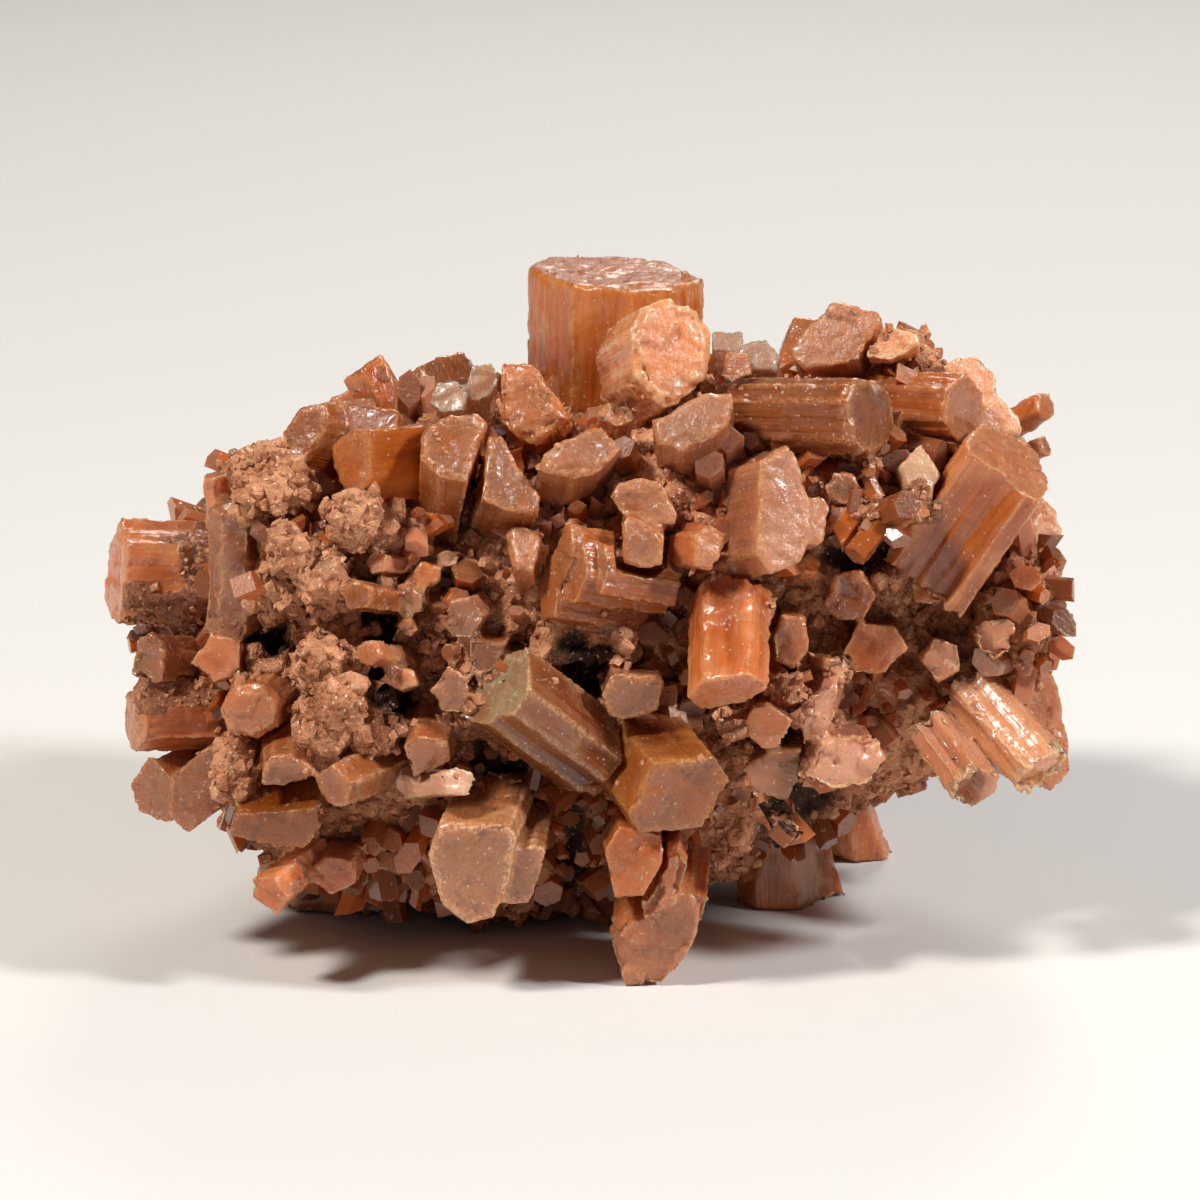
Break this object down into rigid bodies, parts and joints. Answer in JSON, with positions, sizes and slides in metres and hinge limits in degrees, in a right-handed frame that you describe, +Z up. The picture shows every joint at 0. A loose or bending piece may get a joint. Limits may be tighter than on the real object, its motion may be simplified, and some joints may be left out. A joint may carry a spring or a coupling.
{
  "type": "aragonite cluster",
  "caption": "Free-standing mineral specimen: stubby flat-ended six-sided aragonite crystals grown outwards from an earthy core.",
  "frame": {"origin": "on the ground, below the middle of the cluster's box", "axes": "+X to the right as the front is seen, along the cluster's length; +Y away from the front; +Z up"},
  "size_m": [0.0634, 0.045, 0.0433],
  "materials": {
    "rust": "satin",
    "amber": "satin",
    "peach": "satin",
    "glassy": "gloss",
    "dull_cap": "satin",
    "earth": "matte"
  },
  "bodies": {
    "root": {"amber_prism": "amber", "back_left_end_prism": "rust", "back_left_foot_prism": "rust", "back_left_prism": "rust", "back_low_left_prism": "rust", "back_low_right_prism": "rust", "back_middle_prism": "rust", "back_right_end_prism": "rust", "back_right_foot_prism": "rust", "back_right_prism": "rust", "back_right_top_prism": "rust", "back_shoulder_prism": "rust", "back_upper_prism": "rust", "big_peach_prism": "peach", "blade_prism": "rust", "block_prism": "rust", "blunt_prism": "rust", "bright_prism": "peach", "brown_prism": "rust", "centre_prism": "rust", "clear_prism": "glassy", "corner_prism": "peach", "earthy_core": "earth", "fluted_prism": "peach", "fluted_small_prism": "rust", "front_foot_prism": "rust", "glassy_prism": "glassy", "golden_prism": "rust", "green_prism": "dull_cap", "grey_pink_prism": "rust", "grey_white_prism": "dull_cap", "hexagon_prism": "amber", "house_prism": "rust", "left_brown_prism": "rust", "left_corner_prism": "rust", "left_end_prism": "rust", "left_foot_prism": "rust", "left_lit_prism": "rust", "left_low_prism": "rust", "left_orange_prism": "amber", "long_prism": "rust", "low_brown_prism": "rust", "orange_low_prism": "rust", "pale_right_prism": "rust", "peach_prism": "peach", "ribbed_prism": "rust", "right_block_prism": "rust", "right_foot_prism": "rust", "right_lower_slab": "rust", "right_lump_prism": "peach", "rough_face_prism": "rust", "rough_pink_prism": "rust", "rounded_prism": "rust", "shoulder_prism": "rust", "small_hex_prism": "rust", "small_low_prism": "rust", "striated_prism": "rust", "tall_prism": "amber", "wedge_prism": "rust", "white_cap_prism": "dull_cap"}
  },
  "joints": []
}
